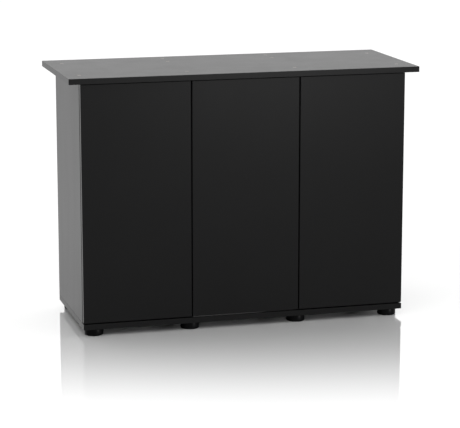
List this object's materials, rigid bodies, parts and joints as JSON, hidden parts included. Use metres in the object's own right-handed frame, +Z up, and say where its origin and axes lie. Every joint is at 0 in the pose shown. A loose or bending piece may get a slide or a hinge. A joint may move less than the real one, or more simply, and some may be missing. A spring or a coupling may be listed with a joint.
{
  "type": "aquarium stand cabinet",
  "caption": "Black cabinet stand for an aquarium: overhanging flat top, push-to-open doors on concealed hinges, dividers, shelf and levelling feet.",
  "frame": {"origin": "middle of the footprint of the top, on the floor", "axes": "+X to the right seen from the front, +Y to the back, +Z up; the doors face -Y"},
  "size_m": [1.01, 0.41, 0.73],
  "materials": {
    "black_melamine": "black melamine-faced board, satin",
    "zinc_steel": "zinc plated",
    "nickel_steel": "nickel plated pressed steel",
    "black_plastic": "black moulded, slightly glossy",
    "grey_plastic": "grey moulded"
  },
  "bodies": {
    "carcass": {"top_panel": "black_melamine", "base_panel": "black_melamine", "left_side_panel": "black_melamine", "right_side_panel": "black_melamine", "left_divider": "black_melamine", "right_divider": "black_melamine", "left_back_panel": "black_melamine", "right_back_panel": "black_melamine", "rear_top_rail": "black_melamine", "rear_bottom_rail": "black_melamine", "left_shelf": "black_melamine", "shelf_peg_1": "zinc_steel", "shelf_peg_2": "zinc_steel", "shelf_peg_3": "zinc_steel", "shelf_peg_4": "zinc_steel", "top_screw_1": "zinc_steel", "top_screw_2": "zinc_steel", "top_screw_3": "zinc_steel", "top_screw_4": "zinc_steel", "top_screw_5": "zinc_steel", "top_screw_6": "zinc_steel", "top_screw_7": "zinc_steel", "top_screw_8": "zinc_steel", "top_screw_9": "zinc_steel", "top_screw_10": "zinc_steel", "left_lower_hinge_arm": "nickel_steel", "left_lower_hinge_plate": "nickel_steel", "left_upper_hinge_arm": "nickel_steel", "left_upper_hinge_plate": "nickel_steel", "left_latch_housing": "grey_plastic", "middle_lower_hinge_arm": "nickel_steel", "middle_lower_hinge_plate": "nickel_steel", "middle_upper_hinge_arm": "nickel_steel", "middle_upper_hinge_plate": "nickel_steel", "middle_latch_housing": "grey_plastic", "right_lower_hinge_arm": "nickel_steel", "right_lower_hinge_plate": "nickel_steel", "right_upper_hinge_arm": "nickel_steel", "right_upper_hinge_plate": "nickel_steel", "right_latch_housing": "grey_plastic"},
    "left_door": {"left_door": "black_melamine", "left_lower_hinge_cup": "nickel_steel", "left_upper_hinge_cup": "nickel_steel"},
    "middle_door": {"middle_door": "black_melamine", "middle_lower_hinge_cup": "nickel_steel", "middle_upper_hinge_cup": "nickel_steel"},
    "right_door": {"right_door": "black_melamine", "right_lower_hinge_cup": "nickel_steel", "right_upper_hinge_cup": "nickel_steel"},
    "left_plunger": {"left_latch_plunger": "black_plastic"},
    "middle_plunger": {"middle_latch_plunger": "black_plastic"},
    "right_plunger": {"right_latch_plunger": "black_plastic"},
    "foot_front_1": {"foot_front_1": "black_plastic"},
    "foot_front_2": {"foot_front_2": "black_plastic"},
    "foot_front_3": {"foot_front_3": "black_plastic"},
    "foot_front_4": {"foot_front_4": "black_plastic"},
    "foot_rear_1": {"foot_rear_1": "black_plastic"},
    "foot_rear_2": {"foot_rear_2": "black_plastic"},
    "foot_rear_3": {"foot_rear_3": "black_plastic"},
    "foot_rear_4": {"foot_rear_4": "black_plastic"}
  },
  "joints": [
    {"name": "left_door_hinge", "type": "hinge", "parent": "carcass", "child": "left_door", "pos_m": [-0.4615, -0.178, 0.375], "axis": [0, 0, -1], "range_deg": [0, 95]},
    {"name": "middle_door_hinge", "type": "hinge", "parent": "carcass", "child": "middle_door", "pos_m": [-0.1475, -0.178, 0.375], "axis": [0, 0, -1], "range_deg": [0, 95]},
    {"name": "right_door_hinge", "type": "hinge", "parent": "carcass", "child": "right_door", "pos_m": [0.4615, -0.178, 0.375], "axis": [0, 0, 1], "range_deg": [0, 95]},
    {"name": "left_latch_push", "type": "slide", "parent": "carcass", "child": "left_plunger", "axis": [0, 1, 0], "range_m": [0, 0.003], "stiffness_N_per_m": 150},
    {"name": "middle_latch_push", "type": "slide", "parent": "carcass", "child": "middle_plunger", "axis": [0, 1, 0], "range_m": [0, 0.003], "stiffness_N_per_m": 150},
    {"name": "right_latch_push", "type": "slide", "parent": "carcass", "child": "right_plunger", "axis": [0, 1, 0], "range_m": [0, 0.003], "stiffness_N_per_m": 150},
    {"name": "thread_foot_front_1", "type": "slide", "parent": "carcass", "child": "foot_front_1", "axis": [0, 0, -1], "range_m": [0, 0.008]},
    {"name": "thread_foot_front_2", "type": "slide", "parent": "carcass", "child": "foot_front_2", "axis": [0, 0, -1], "range_m": [0, 0.008]},
    {"name": "thread_foot_front_3", "type": "slide", "parent": "carcass", "child": "foot_front_3", "axis": [0, 0, -1], "range_m": [0, 0.008]},
    {"name": "thread_foot_front_4", "type": "slide", "parent": "carcass", "child": "foot_front_4", "axis": [0, 0, -1], "range_m": [0, 0.008]},
    {"name": "thread_foot_rear_1", "type": "slide", "parent": "carcass", "child": "foot_rear_1", "axis": [0, 0, -1], "range_m": [0, 0.008]},
    {"name": "thread_foot_rear_2", "type": "slide", "parent": "carcass", "child": "foot_rear_2", "axis": [0, 0, -1], "range_m": [0, 0.008]},
    {"name": "thread_foot_rear_3", "type": "slide", "parent": "carcass", "child": "foot_rear_3", "axis": [0, 0, -1], "range_m": [0, 0.008]},
    {"name": "thread_foot_rear_4", "type": "slide", "parent": "carcass", "child": "foot_rear_4", "axis": [0, 0, -1], "range_m": [0, 0.008]}
  ]
}
